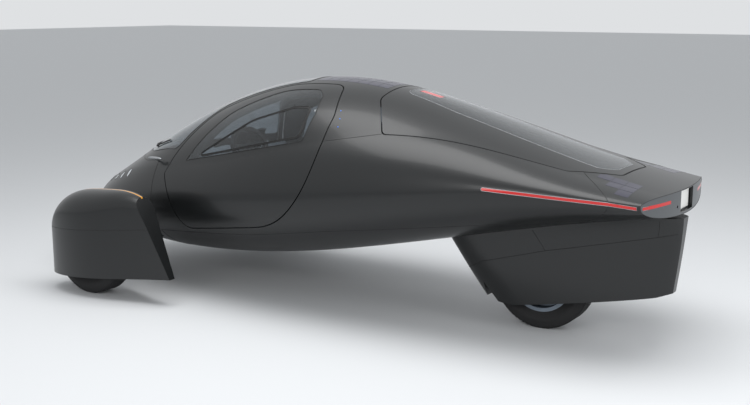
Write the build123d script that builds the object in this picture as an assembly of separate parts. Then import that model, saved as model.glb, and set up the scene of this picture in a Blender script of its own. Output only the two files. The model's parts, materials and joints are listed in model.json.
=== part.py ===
"""A three wheeled car: teardrop body, two faired front wheels and one rear wheel in a spat.

Frame: +X forward, +Y left, +Z up, millimetres, origin on the ground under the middle of the car.
"""
import math
import os
from collections import namedtuple

from build123d import *

# Body shell
wall = 50.0                 # thickness of a whole panel, door or roof
glass_thickness = 6.0
door_gap = 7.0              # gap all round a door and the hatch
seat_gap = 0.3              # gap between a glass pane and its opening
tail_x = -2184.5            # rearmost point of the tail face, on the centre line
tail_corner_x = -2105.0     # tail face at its outer corners
tail_corner_y = 520.0
nose_split_x = 1250.0       # joint between the nose shells and the cabin
pillar_width = 58.0         # frame round the windshield
cabin_front_x = 2050.0      # the hollow inside the shell runs between these two
cabin_rear_x = -1950.0
haunch = 0.55               # how far the rear shoulder stands out from the greenhouse
haunch_start_x = 600.0
haunch_length = 1200.0

# Body sections, from nose to tail. The upper arc runs over the top to the seam on each side,
# the shoulder from the seam to the widest point at the waist, the lower arc under the belly.
Station = namedtuple("Station", "x top bottom half_width waist seam_y seam_z")
STATIONS = [
    Station(2184.5, 530, 475, 45, 500, 30, 523),
    Station(2150, 585, 418, 190, 500, 135, 562),
    Station(2050, 652, 343, 370, 505, 275, 606),
    Station(1800, 795, 245, 525, 530, 410, 710),
    Station(1400, 1045, 190, 628, 570, 545, 815),
    Station(900, 1285, 200, 710, 630, 632, 885),
    Station(300, 1430, 270, 760, 700, 665, 1005),
    Station(-300, 1412, 385, 750, 775, 595, 1135),
    Station(-900, 1272, 520, 710, 860, 485, 1158),
    Station(-1500, 1098, 655, 640, 915, 400, 1050),
    Station(-1950, 980, 745, 565, 900, 340, 962),
    Station(-2220, 920, 797, 495, 886, 295, 911),
]

# Outlines: plan ones hold (x, y, corner radius), side ones (x, z, corner radius)
ABOVE = 1700.0
OUTSIDE = 1300.0
BEHIND = -2500.0
DOOR_SIDE = [(-175, ABOVE, 0), (-175, 600, 560), (940, 440, 90), (1165, 840, 110), (1165, ABOVE, 0)]
DOOR_PLAN = [(-175, OUTSIDE, 0), (-175, 500, 140), (-60, 210, 110), (330, 212, 600), (870, 340, 200),
             (1200, 694, 0), (1200, OUTSIDE, 0)]
DOOR_GLASS_SIDE = [(-45, ABOVE, 0), (-25, 1094, 30), (980, 890, 20), (980, ABOVE, 0)]
DOOR_GLASS_PLAN = [(-35, OUTSIDE, 0), (-35, 520, 120), (10, 360, 60), (75, 299, 60), (330, 298, 500),
                   (700, 425, 300), (1000, 660, 0), (1000, OUTSIDE, 0)]
WINDOW_SIDE = [(880, 918, 15), (440, 1190, 250), (150, 1284, 200), (18, 1287, 40), (8, 1114, 25)]
WINDSHIELD_HALF_PLAN = [(250, 165, 40), (860, 290, 200), (1100, 545, 60), (1420, 450, 250),
                        (1680, 180, 150)]
HATCH_HALF_PLAN = [(-370, 300, 120), (-545, 553, 45), (-1640, 388, 60), (-1885, 190, 60)]
HATCH_GLASS_HALF_PLAN = [(-450, 125, 70), (-850, 180, 400), (-1750, 205, 50), (-1830, 120, 50)]
TAIL_HALF_PLAN = [(-1690, 310, 0), (-1950, 570, 0), (-1950, 800, 0), (BEHIND, 800, 0)]
BELT_SIDE = [(-620, 1178, 0), (-100, 1093, 0), (250, 1000, 0), (250, ABOVE, 0), (-620, ABOVE, 0)]
HOOD_SIDE = [(nose_split_x, 600, 0), (2300, 495, 0), (2300, ABOVE, 0), (nose_split_x, ABOVE, 0)]
BELLY_SIDE = [(nose_split_x, 385, 0), (380, 468, 0), (-200, 560, 0), (-2000, 797, 0), (BEHIND, 797, 0),
              (BEHIND, 0, 0), (nose_split_x, 0, 0)]

# Lamps
tail_lamp_height = 18.0
lamp_depth = 14.0
TAIL_LAMP_LINE = [(-1262, 927), (-1945, 897), (-2115, 880)]
tail_lamp_inner_y = 236.0
head_lamp_radius = 19.0
HEAD_LAMPS_PLAN = [(1880, 400), (1790, 445), (1695, 482), (1595, 512)]
stop_lamp_rear_x = -640.0
stop_lamp_length = 150.0
stop_lamp_width = 60.0

# Wheels
front_axle_x = 1507.0
rear_axle_x = -1356.0
front_track_half = 941.0
tyre_radius = 310.0
tyre_width = 176.0
rim_radius = 205.0
rim_lip = 22.0              # depth of the rim's well below its bead
rim_hole_radius = 30.0
rim_hole_count = 8
hub_radius = 60.0
hub_inner = 45.0            # ends of the hub from the wheel's middle
hub_outer = 40.0
axle_radius = 20.0
axle_clearance = 0.05
kingpin_y = 815.0
kingpin_radius = 24.0

# Front suspension
arm_lower_z = 235.0
arm_upper_z = 405.0
arm_lower_rise = 145.0      # how far an arm climbs from its eye to its root
arm_upper_rise = 25.0
arm_radius = 16.0
arm_root_y = 345.0
arm_spread = 190.0
arm_stub = 20.0             # length of the arm beyond its root
eye_height = 30.0
ARM_HOLE_SIDE = [(1315, 300, 40), (1700, 300, 40), (1700, 455, 60), (1315, 455, 60)]
arm_hole_inner_y = 330.0
subframe_low_z = 362.0
subframe_high_z = 458.0

# Front wheel fairings, sections from front to rear: half width and height of the crown
fairing_wall = 14.0
fairing_bottom_front = 105.0
fairing_bottom_rear = 185.0
FairingStation = namedtuple("FairingStation", "x half_width top")
FAIRING_STATIONS = [
    FairingStation(1862, 14, 300),
    FairingStation(1838, 70, 440),
    FairingStation(1750, 128, 595),
    FairingStation(1570, 172, 690),
    FairingStation(1330, 160, 714),
    FairingStation(1080, 92, 702),
    FairingStation(780, 20, 660),
]
fairing_crown = 0.85        # rise of the crown over its half width
strip_width = 14.0
strip_depth = 8.0
FAIRING_TRIM = [(1052, 760, 0), (1040, 690, 40), (955, 520, 300), (783, 150, 0), (700, 60, 0), (700, 760, 0)]

# Rear spat, sections from bottom to top: front and rear ends and half width
SpatStation = namedtuple("SpatStation", "z front rear half_width")
SPAT_STATIONS = [
    SpatStation(130, -1000, -2120, 176),
    SpatStation(300, -868, -2138, 190),
    SpatStation(480, -735, -2160, 200),
    SpatStation(640, -600, -2176, 218),
    SpatStation(760, -430, -2184, 300),
]
spat_nose_length = 330.0
spat_tail_stretch = 1.01    # length of the tail's ellipse over the tail itself, which leaves a flat end
well_half_width = 142.0
well_half_length = 335.0
pivot_room_half = 135.0
SPAT_COVER_SIDE = [(-820, 300, 0), (-1037, 396, 300), (-1430, 509, 800), (-2300, 700, 0), (-2300, 0, 0),
                   (-820, 0, 0)]
SPAT_BOTTOM_SIDE = [(-700, 240, 0), (-985, 163, 0), (-1180, 140, 600), (-2060, 300, 200), (-2300, 380, 0),
                    (-2300, -50, 0), (-700, -50, 0)]

# Cabin
floor_z = 350.0
floor_thickness = 15.0
deck_z = 750.0
firewall_x = 1200.0
seat_y = 285.0
seat_width = 440.0
seat_base_z = 445.0
SEAT_SIDE = [(720, seat_base_z, 30), (735, 560, 50), (330, 520, 90), (75, 1010, 60), (20, 1140, 40),
             (-65, 1125, 40), (-30, 960, 80), (150, seat_base_z, 60)]
PEDESTAL_X = (260.0, 640.0)
PEDESTAL_Y = (135.0, 246.0)
DASH_SIDE = [(firewall_x, 640, 0), (1010, 660, 60), (900, 850, 60), (1000, 905, 60), (firewall_x, 900, 0)]
dash_half_width = 450.0
firewall_thickness = 20.0
FIREWALL_NOTCH_SIDE = [(1100, 700, 0), (1300, 700, 0), (1300, 905, 0), (1100, 905, 0)]
firewall_notch_y = 560.0    # the notch clears the swept front edge of the door
screen_thickness = 16.0
screen_width = 330.0
screen_height = 190.0
screen_centre = (935, 0, 945)
screen_tilt = 15.0
BATTERY_X = (1290.0, 1720.0)
battery_half_width = 340.0
battery_top_z = 640.0
steering_wheel_centre = (640, 330, 985)
steering_wheel_half_width = 170.0
steering_wheel_half_height = 130.0
steering_wheel_tube = 15.0
column_tilt = 25.0
column_radius = 28.0

# Rear plate, its recess in the tail and the tow socket beside it
recess_depth = 26.0
recess_half_width = 105.0
recess_half_height = 60.0
plate_width = 178.0
plate_height = 102.0
plate_thickness = 3.0
plate_z = 862.0
plate_hole_spacing_y = 146.0
plate_hole_spacing_z = 70.0
plate_hole_radius = 3.5
tow_socket_radius = 8.0
tow_socket_depth = 45.0
tow_socket_y = 150.0
tow_socket_z = plate_z - 20.0


# Helpers for outlines and prisms

def outline(points):
    """Closed flat face from corner points that each carry a radius."""
    corners = [(x, y) for x, y, _ in points]
    radii = [radius for _, _, radius in points]
    return make_face(FilletPolyline(*corners, radius=radii, close=True))


def both_sides(half):
    """Corner points of a half outline and of its mirror image across the centre line."""
    return half + [(x, -y, radius) for x, y, radius in reversed(half)]


def grown(face, amount):
    """The face with its outline moved outwards, or inwards where amount is negative."""
    return offset(face, amount=amount, kind=Kind.INTERSECTION) if amount else face


def plan_prism(points, grow=0.0, low=-200.0, high=ABOVE):
    """Upright prism on an outline seen from above."""
    return extrude(Pos(0, 0, low) * grown(outline(points), grow), amount=high - low)


def side_prism(points, grow=0.0, near=-OUTSIDE, far=OUTSIDE):
    """Prism across the car on an outline seen from the left side."""
    plane = Plane(origin=(0, near, 0), x_dir=(1, 0, 0), z_dir=(0, -1, 0))
    return extrude(plane * grown(outline(points), grow), amount=far - near, dir=(0, 1, 0))


def block(x_range, y_range, z_range):
    """Box between two corners given as ranges."""
    sizes = [high - low for low, high in (x_range, y_range, z_range)]
    centre = [(high + low) / 2 for low, high in (x_range, y_range, z_range)]
    return Pos(*centre) * Box(*sizes)


def rod(start, end, radius):
    """Round bar between two points."""
    axis = Vector(*end) - Vector(*start)
    return extrude(Plane(origin=start, z_dir=axis) * Circle(radius), amount=axis.length)


def mirrored(shape):
    """The same shape on the other side of the car."""
    return mirror(shape, about=Plane.XZ)


def solids_of(shape):
    """One compound of the solids of a shape, without slivers."""
    kept = [solid for solid in shape.solids() if solid.volume > 1000.0]
    return kept[0] if len(kept) == 1 else Compound(kept)


# Body surfaces

def body_section(station, inset):
    """Closed section of the body, moved inwards by the inset."""
    x, top, bottom, half_width, waist, seam_y, seam_z = station
    top, bottom, half_width = top - inset, bottom + inset, half_width - inset
    seam_scale = (top - waist) / (top - waist + inset)
    seam_z = waist + (seam_z - waist) * seam_scale
    seam_y = seam_y * half_width / (half_width + inset)
    rise = top - waist
    upper_half = seam_y / math.sqrt(1 - ((seam_z - waist) / rise) ** 2)
    bulge = haunch * min(1.0, max(0.0, (haunch_start_x - x) / haunch_length))
    shoulder_y = bulge * seam_y
    shoulder_half = half_width - shoulder_y
    seam_cos = (seam_y - shoulder_y) / shoulder_half
    shoulder_rise = (seam_z - waist) / math.sqrt(1 - seam_cos ** 2)
    seam_angle = math.degrees(math.asin((seam_z - waist) / rise))
    shoulder_angle = math.degrees(math.acos(seam_cos))

    def arc(centre_y, half, height, start, end):
        plane = Plane(origin=(x, centre_y, waist), x_dir=(0, 1, 0), z_dir=(1, 0, 0))
        return Edge.make_ellipse(half, height, plane, start, end)

    return Wire([
        arc(0, upper_half, rise, seam_angle, 180 - seam_angle),
        arc(-shoulder_y, shoulder_half, shoulder_rise, 180 - shoulder_angle, 180),
        arc(0, half_width, waist - bottom, 180, 360),
        arc(shoulder_y, shoulder_half, shoulder_rise, 0, shoulder_angle),
    ])


def body_solid(inset, front_x, rear_x):
    """Solid inside the body's surface, moved inwards by the inset, between two stations."""
    chosen = [station for station in STATIONS if rear_x <= station.x <= front_x]
    return Solid.make_loft([body_section(station, inset) for station in chosen])


def tail_trim(inset=0.0):
    """Everything ahead of the convex tail face."""
    corner_x = tail_corner_x + inset
    arc = ThreePointArc((corner_x, -tail_corner_y), (tail_x + inset, 0), (corner_x, tail_corner_y))
    flare = corner_x + 60
    rest = Polyline((corner_x, tail_corner_y), (flare, OUTSIDE), (2400, OUTSIDE), (2400, -OUTSIDE),
                    (flare, -OUTSIDE), (corner_x, -tail_corner_y))
    return extrude(make_face([arc, rest]), amount=ABOVE)


print("body surfaces")
first_x, last_x = STATIONS[0].x, STATIONS[-1].x
OUTER = body_solid(0.0, first_x, last_x) & tail_trim()
INNER = body_solid(wall, cabin_front_x, cabin_rear_x)
UNDER_GLASS = body_solid(glass_thickness, cabin_front_x, last_x)
UNDER_LAMP = body_solid(lamp_depth, cabin_front_x, last_x)


def skin(region):
    """The part of the body shell inside a region, as thick as the wall."""
    return (OUTER & region) - INNER


def pane(region):
    """The part of the body's surface inside a region, as thick as glass."""
    return (OUTER & region) - UNDER_GLASS


# Regions of the shell
half_space = block((BEHIND, 2400), (0, OUTSIDE), (-200, ABOVE))
cabin_half = block((BEHIND, nose_split_x), (0, OUTSIDE), (0, ABOVE))
door_hole = side_prism(DOOR_SIDE, near=0) & plan_prism(DOOR_PLAN)
door_region = side_prism(DOOR_SIDE, -door_gap, near=0) & plan_prism(DOOR_PLAN, -door_gap)
windshield_hole = plan_prism(both_sides(WINDSHIELD_HALF_PLAN), low=700)
pillar_region = plan_prism(both_sides(WINDSHIELD_HALF_PLAN), pillar_width, low=700)
hatch_hole = plan_prism(both_sides(HATCH_HALF_PLAN), low=900)
hatch_region = plan_prism(both_sides(HATCH_HALF_PLAN), -door_gap, low=900)
hatch_glass_hole = plan_prism(both_sides(HATCH_GLASS_HALF_PLAN), low=900)
tail_region = plan_prism(both_sides(TAIL_HALF_PLAN))
roof_region = side_prism(BELT_SIDE) + pillar_region
belly_region = side_prism(BELLY_SIDE)
doors_hole = door_hole + mirrored(door_hole)


def lamp_region(extra):
    """Band along the tail lamp line, as seen from the side."""
    half = tail_lamp_height / 2 + extra
    (x0, z0), (x1, z1), (x2, z2) = TAIL_LAMP_LINE
    band = [(x0 + extra, z0 + half, half * 0.9), (x1, z1 + half, 0), (x2, z2 + half, 0),
            (x2, z2 - half, 0), (x1, z1 - half, 0), (x0 + extra, z0 - half, half * 0.9)]
    return side_prism(band, near=tail_lamp_inner_y)


def rear_lamp_band(extra):
    """Band of the tail lamp across the tail face, on the left."""
    z_end = TAIL_LAMP_LINE[-1][1]
    half = tail_lamp_height / 2 + extra
    band = block((BEHIND, tail_corner_x), (tail_lamp_inner_y - extra, tail_corner_y - 12 + extra),
                 (z_end - half, z_end + half))
    return (OUTER & band) - tail_trim(lamp_depth)


def side_lamp_band(extra):
    """Band of the tail lamp along the body side, on the left."""
    return ((OUTER & lamp_region(extra)) - UNDER_LAMP) & tail_trim(lamp_depth + 4)


def body_panels():
    """Fixed panels of the shell."""
    print("body panels")
    lamp_cut = side_lamp_band(seat_gap) + rear_lamp_band(seat_gap)
    lamp_cut = lamp_cut + mirrored(lamp_cut)
    lamps = side_lamp_band(0)
    rear_lamps = rear_lamp_band(0)
    wheel_hole = block((rear_axle_x - well_half_length, rear_axle_x + well_half_length),
                       (-well_half_width, well_half_width), (0, deck_z - 50))
    arm_hole = side_prism(ARM_HOLE_SIDE, near=arm_hole_inner_y)
    arm_holes = arm_hole + mirrored(arm_hole)
    side = skin(cabin_half) - door_hole - roof_region - hatch_hole - tail_region - belly_region - lamp_cut
    nose = skin(block((nose_split_x, 2400), (-OUTSIDE, OUTSIDE), (0, ABOVE)))
    hood_region = side_prism(HOOD_SIDE)
    head_lamp_holes = head_lamps(seat_gap)
    plate_recess = block((BEHIND, tail_x + recess_depth), (-recess_half_width, recess_half_width),
                         (plate_z - recess_half_height, plate_z + recess_half_height))
    panels = {
        "side_left": solids_of(side),
        "side_right": solids_of(mirrored(side)),
        "belly": solids_of(skin(belly_region) - tail_region - wheel_hole),
        "hood": solids_of((nose & hood_region) - pillar_region - head_lamp_holes),
        "nose_lower": solids_of(nose - hood_region - arm_holes),
        "roof_frame": solids_of(skin(roof_region) - doors_hole - hatch_hole - windshield_hole),
        "tail_cap": solids_of(skin(tail_region) - hatch_hole - lamp_cut - plate_recess - plate_holes()
                              - tow_socket()),
        "windshield": solids_of(pane(plan_prism(both_sides(WINDSHIELD_HALF_PLAN), -seat_gap, low=700))),
        "tail_lamps": Compound([lamp for band in (lamps, rear_lamps, mirrored(lamps), mirrored(rear_lamps))
                                for lamp in band.solids()]),
        "head_lamps": Compound(head_lamps(0).solids()),
        "number_plate": number_plate(),
    }
    return panels


def head_lamps(extra):
    """Row of small round lamps sunk into each side of the hood."""
    row = None
    for x, y in HEAD_LAMPS_PLAN:
        barrel = Pos(x, y, 760) * Cylinder(head_lamp_radius + extra, 320)
        row = barrel if row is None else row + barrel
    band = (OUTER & row) - UNDER_LAMP
    return band + mirrored(band)


def plate_holes():
    """Fixing holes of the rear plate, through the plate and into the tail."""
    holes = None
    for y in (-plate_hole_spacing_y / 2, plate_hole_spacing_y / 2):
        for z in (plate_z - plate_hole_spacing_z / 2, plate_z + plate_hole_spacing_z / 2):
            hole = rod((tail_x + 50, y, z), (tail_x - 20, y, z), plate_hole_radius)
            holes = hole if holes is None else holes + hole
    return holes


def tow_socket():
    """Threaded socket for a tow eye, beside the plate."""
    inner_end = (tail_x + tow_socket_depth, tow_socket_y, tow_socket_z)
    return rod(inner_end, (tail_x - 20, tow_socket_y, tow_socket_z), tow_socket_radius)


def number_plate():
    """Blank plate on the floor of the tail recess."""
    floor_x = tail_x + recess_depth
    plate = block((floor_x - plate_thickness, floor_x), (-plate_width / 2, plate_width / 2),
                  (plate_z - plate_height / 2, plate_z + plate_height / 2))
    return solids_of(plate - plate_holes())


def hatch_pieces():
    """Rear hatch with its glass and the high stop lamp."""
    print("hatch")
    glass = pane(plan_prism(both_sides(HATCH_GLASS_HALF_PLAN), -seat_gap, low=900))
    return {
        "hatch": solids_of(skin(hatch_region) - hatch_glass_hole),
        "hatch_glass": solids_of(glass - stop_lamp_region(0)),
        "stop_lamp": solids_of(pane(stop_lamp_region(seat_gap))),
    }


def stop_lamp_region(inset):
    """Upright block round the high stop lamp, smaller all round by the inset."""
    front_x = stop_lamp_rear_x + stop_lamp_length
    half = stop_lamp_width / 2 - inset
    return block((stop_lamp_rear_x + inset, front_x - inset), (-half, half), (1200, ABOVE))


def door_pieces():
    """Left door with its fixed glass, the small window and the window's seal."""
    print("doors")
    glass_hole = side_prism(DOOR_GLASS_SIDE, near=0) & plan_prism(DOOR_GLASS_PLAN)
    glass_region = side_prism(DOOR_GLASS_SIDE, -seat_gap, near=0) & plan_prism(DOOR_GLASS_PLAN, -seat_gap)
    seal_width = 9.0
    seal_hole = side_prism(WINDOW_SIDE, near=0)
    seal_ring = side_prism(WINDOW_SIDE, -seat_gap, near=0) - side_prism(WINDOW_SIDE, -seal_width, near=0)
    window = side_prism(WINDOW_SIDE, -seal_width - seat_gap, near=0)
    glass = pane(glass_region) - seal_hole
    return {
        "door": solids_of(skin(door_region) - glass_hole),
        "door_glass": Compound([*glass.solids(), *pane(window).solids()]),
        "window_seal": solids_of(pane(seal_ring)),
    }


# Front wheel fairings

def fairing_section(station, inset, bottom):
    """Upright section of a fairing: straight sides under an elliptical crown."""
    half = max(station.half_width - inset, 4.0)
    top = station.top - inset
    rise = half * fairing_crown
    plane = Plane(origin=(station.x, front_track_half, top - rise), x_dir=(0, 1, 0), z_dir=(1, 0, 0))
    crown = Edge.make_ellipse(half, rise, plane, 0, 180)
    left, right = front_track_half + half, front_track_half - half
    corner = top - rise
    return Wire([
        crown,
        Edge.make_line((station.x, right, corner), (station.x, right, bottom)),
        Edge.make_line((station.x, right, bottom), (station.x, left, bottom)),
        Edge.make_line((station.x, left, bottom), (station.x, left, corner)),
    ])


def fairing_solid(inset, bottom):
    """Fairing solid with its surface moved inwards by the inset."""
    stations = [station._replace(x=station.x + (-inset if index == 0 else 0))
                for index, station in enumerate(FAIRING_STATIONS)]
    return Solid.make_loft([fairing_section(station, inset, bottom) for station in stations])


def fairing_strip_region(inset):
    """Upright slice over the middle of the left fairing, narrower on each side by the inset."""
    half = strip_width / 2 - inset
    return block((1000, 1870), (front_track_half - half, front_track_half + half), (250, 800))


def fairing_pieces():
    """Left front fairing, open below and at the wheel's inner side, and its amber strip."""
    print("fairings")
    bottom = fairing_bottom_front
    trim = side_prism(FAIRING_TRIM, near=0)
    inner_trim = side_prism(FAIRING_TRIM, fairing_wall, near=0)
    lower = side_prism([(1900, bottom, 0), (700, fairing_bottom_rear, 0), (700, 0, 0), (1900, 0, 0)], near=0)
    outer = fairing_solid(0, 60) - trim - lower
    hollow = fairing_solid(fairing_wall, 20) - inner_trim
    arm_window = block((front_axle_x - 190, front_axle_x + 190), (700, front_track_half - 60), (0, 520))
    strip_region = fairing_strip_region(0)
    strip_hole = (outer & strip_region) - fairing_solid(strip_depth, 20)
    shell = outer - hollow - arm_window - strip_hole
    strip = (outer & fairing_strip_region(seat_gap)) - fairing_solid(strip_depth, 20)
    return {"fairing": solids_of(shell), "fairing_strip": solids_of(strip)}, hollow


# Wheels, knuckles and arms

def turned(profile, centre):
    """Ring turned round an axis across the car, from (radius, offset across, fillet) corners."""
    face = outline(profile)
    return Pos(*centre) * revolve(face, axis=Axis.Y)


def tyre(centre):
    """Tyre with a rounded shoulder."""
    half = tyre_width / 2
    bead = rim_radius + 0.2
    profile = [(bead, -half * 0.78, 0), (tyre_radius - 55, -half, 25), (tyre_radius, -half * 0.8, 30),
               (tyre_radius, half * 0.8, 30), (tyre_radius - 55, half, 25), (bead, half * 0.78, 0)]
    return solids_of(turned(profile, centre))


def rim(centre):
    """Disc wheel with a ring of round openings and a hub bore."""
    half = tyre_width / 2
    bore = axle_radius + axle_clearance
    edge = half * 0.8
    well = rim_radius - rim_lip
    profile = [(bore, -hub_inner, 0), (hub_radius, -hub_inner, 0), (hub_radius + 10, 0, 10), (well, 0, 15),
               (well, -edge, 0), (rim_radius, -edge, 0), (rim_radius, edge, 0), (well, edge, 0),
               (well, 18, 5), (hub_radius, 18, 8), (hub_radius - 10, hub_outer, 5), (bore, hub_outer, 0)]
    disc = turned(profile, centre)
    hole_circle = (hub_radius + well) / 2 + 4
    for index in range(rim_hole_count):
        angle = 2 * math.pi * index / rim_hole_count
        x = centre[0] + hole_circle * math.cos(angle)
        z = centre[2] + hole_circle * math.sin(angle)
        disc -= rod((x, centre[1] - half, z), (x, centre[1] + half, z), rim_hole_radius)
    return solids_of(disc)


def wishbones():
    """Left pair of wishbones, each two legs that meet in an eye under or over the knuckle."""
    solids = []
    low, high = arm_lower_z + eye_height / 2, arm_upper_z - eye_height / 2
    post_room = Pos(front_axle_x, kingpin_y, (low + high) / 2) * Cylinder(kingpin_radius + 9, high - low)
    for z, root_rise in ((arm_lower_z, arm_lower_rise), (arm_upper_z, arm_upper_rise)):
        arm = Pos(front_axle_x, kingpin_y, z) * Cylinder(kingpin_radius + 8, eye_height)
        for direction in (-1, 1):
            root = (front_axle_x + direction * arm_spread, arm_root_y, z + root_rise)
            tip = (front_axle_x + direction * 12, kingpin_y - 12, z)
            arm += rod(root, tip, arm_radius)
        arm -= block((0, 2400), (0, arm_root_y + arm_stub), (0, 900))
        arm -= post_room
        solids += arm.solids()
    return Compound(solids)


def subframe():
    """Crossmember between two rails that carry the wishbones and rest on the firewall."""
    root = arm_root_y + arm_stub
    inner = root - 70
    rail_x = (firewall_x + firewall_thickness + seat_gap, front_axle_x + arm_spread + 20)
    frame = block((front_axle_x - 60, front_axle_x + 60), (-inner - 10, inner + 10), (365, 450))
    for sign in (-1, 1):
        low, high = sorted((sign * inner, sign * root))
        frame += block(rail_x, (low, high), (subframe_low_z, subframe_high_z))
    return solids_of(frame)


def knuckle(hollow):
    """Left knuckle: upright between the wishbone eyes, stub axle and the stay that carries the fairing."""
    low = arm_lower_z + eye_height / 2 + seat_gap
    high = arm_upper_z - eye_height / 2 - seat_gap
    centre = (front_axle_x, front_track_half, tyre_radius)
    body = Pos(front_axle_x, kingpin_y, (low + high) / 2) * Cylinder(kingpin_radius, high - low)
    body += rod((front_axle_x, kingpin_y, tyre_radius), (front_axle_x, centre[1] - 45.5, tyre_radius), 40)
    axle_root = (front_axle_x, kingpin_y, tyre_radius)
    body += rod(axle_root, (front_axle_x, centre[1] + 60, tyre_radius), axle_radius)
    stay_y = front_track_half - tyre_width / 2 - 34
    stay = block((front_axle_x - 90, front_axle_x + 90), (stay_y - 8, stay_y + 8), (430, 760))
    stay += block((front_axle_x + 44, front_axle_x + 90), (stay_y - 8, stay_y + 8), (300, 440))
    stay += block((front_axle_x - 20, front_axle_x + 90), (stay_y - 8, stay_y + 8), (290, 335))
    return solids_of(body + (stay & hollow))


# Rear spat and swing arm

def spat_section(station):
    """Plan section of the spat: elliptical front and a long elliptical tail with a flat end."""
    z = station.z
    half = station.half_width
    middle = station.front - spat_nose_length
    tail = (middle - station.rear) * spat_tail_stretch
    end_angle = math.degrees(math.acos(1 / spat_tail_stretch))
    tail_half = half * math.sin(math.radians(end_angle))
    plane = Plane(origin=(middle, 0, z))
    return Wire([
        Edge.make_ellipse(spat_nose_length, half, plane, -90, 90),
        Edge.make_ellipse(tail, half, plane, 90, 180 - end_angle),
        Edge.make_line((station.rear, tail_half, z), (station.rear, -tail_half, z)),
        Edge.make_ellipse(tail, half, plane, 180 + end_angle, 270),
    ])


def spat_solid():
    """Outer solid of the spat up into the belly."""
    return Solid.make_loft([spat_section(station) for station in SPAT_STATIONS])


def spat_pieces():
    """Spat under the tail, open below round the rear wheel, with a cover on each side."""
    print("spat")
    whole = spat_solid() - side_prism(SPAT_BOTTOM_SIDE) - OUTER
    well = block((rear_axle_x - well_half_length, rear_axle_x + well_half_length),
                 (-well_half_width, well_half_width), (0, 900))
    arm_room = block((rear_axle_x + well_half_length - 5, rear_axle_x + 445),
                     (-pivot_room_half, pivot_room_half), (400, 515))
    shell = whole - well - arm_room
    cover_region = side_prism(SPAT_COVER_SIDE)
    cover = (shell & cover_region) & half_space
    upper = shell - cover_region
    return {
        "spat": solids_of(upper),
        "spat_cover_left": solids_of(cover),
        "spat_cover_right": solids_of(mirrored(cover)),
    }


def swing_arm():
    """Two-legged rear arm with the axle across its end."""
    pivot_x = rear_axle_x + 405
    pivot_z = 470.0
    leg_y = tyre_width / 2 + 25
    pivot_end = pivot_room_half - seat_gap
    arm = rod((pivot_x, -pivot_end, pivot_z), (pivot_x, pivot_end, pivot_z), 32)
    axle_end = well_half_width - seat_gap
    arm += rod((rear_axle_x, -axle_end, tyre_radius), (rear_axle_x, axle_end, tyre_radius), axle_radius)
    for sign in (-1, 1):
        arm += rod((pivot_x, sign * (leg_y - 5), pivot_z), (rear_axle_x, sign * leg_y, tyre_radius), 17)
    return solids_of(arm)


# Cabin

def cabin_pieces():
    """Floor with firewall, luggage deck, dashboard, screen, seats and battery."""
    print("cabin")
    floor = INNER & block((-20, nose_split_x - 30), (-OUTSIDE, OUTSIDE), (floor_z - floor_thickness, floor_z))
    firewall = INNER & block((firewall_x, firewall_x + firewall_thickness), (-OUTSIDE, OUTSIDE),
                             (floor_z - 5, 900))
    notch = side_prism(FIREWALL_NOTCH_SIDE, near=firewall_notch_y)
    firewall = firewall - notch - mirrored(notch)
    deck = INNER & block((-1750, -280), (-OUTSIDE, OUTSIDE), (deck_z - floor_thickness, deck_z))
    dash = side_prism(DASH_SIDE, near=-dash_half_width, far=dash_half_width)
    wheel_plane = steering_plane()
    column = extrude(wheel_plane * Pos(0, 0, 6) * Circle(column_radius), amount=330)
    dash += column
    screen = Rot(0, -screen_tilt, 0) * Box(screen_thickness, screen_width, screen_height)
    screen = Pos(*screen_centre) * screen
    seat = extrude(Plane(origin=(0, seat_y - seat_width / 2, 0), x_dir=(1, 0, 0), z_dir=(0, -1, 0))
                   * outline(SEAT_SIDE), amount=seat_width, dir=(0, 1, 0))
    seat = (seat & INNER) + block(PEDESTAL_X, PEDESTAL_Y, (floor_z, seat_base_z))
    return {
        "cabin_floor": solids_of(floor + firewall),
        "luggage_deck": solids_of(deck),
        "dashboard": solids_of(dash),
        "screen": solids_of(screen - dash),
        "seat_left": solids_of(seat),
        "seat_right": solids_of(mirrored(seat)),
        "battery": block(BATTERY_X, (-battery_half_width, battery_half_width),
                         (subframe_high_z + seat_gap, battery_top_z)),
    }


def steering_plane():
    """Plane of the steering wheel, its normal pointing forwards along the column."""
    tilt = math.radians(column_tilt)
    return Plane(origin=steering_wheel_centre, x_dir=(0, 1, 0), z_dir=(math.cos(tilt), 0, -math.sin(tilt)))


def steering_wheel():
    """Flattened wheel with two spokes and a hub."""
    plane = steering_plane()
    outer = Ellipse(steering_wheel_half_width, steering_wheel_half_height)
    inner = Ellipse(steering_wheel_half_width - 2 * steering_wheel_tube,
                    steering_wheel_half_height - 2 * steering_wheel_tube)
    ring = extrude(plane * (outer - inner), amount=steering_wheel_tube, both=True)
    spoke = extrude(plane * Rectangle(2 * steering_wheel_half_width - 40, 40), amount=5, both=True)
    hub = extrude(plane * Circle(42), amount=5.5, dir=plane.z_dir)
    return solids_of(ring + spoke + hub)


def build():
    """All nodes by name."""
    nodes = body_panels()
    nodes.update(hatch_pieces())
    door = door_pieces()
    fairing, fairing_hollow = fairing_pieces()
    centre = (front_axle_x, front_track_half, tyre_radius)
    print("wheels")
    left = {**door, **fairing, "knuckle": knuckle(fairing_hollow), "wishbones": wishbones(),
            "tyre_front": tyre(centre), "rim_front": rim(centre)}
    for name, shape in left.items():
        nodes[f"{name}_left"] = shape
        nodes[f"{name}_right"] = mirrored(shape)
    rear = (rear_axle_x, 0, tyre_radius)
    nodes["tyre_rear"] = tyre(rear)
    nodes["rim_rear"] = rim(rear)
    nodes["front_subframe"] = subframe()
    nodes["swing_arm"] = swing_arm()
    nodes.update(spat_pieces())
    nodes.update(cabin_pieces())
    nodes["steering_wheel"] = steering_wheel()
    return nodes


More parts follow.
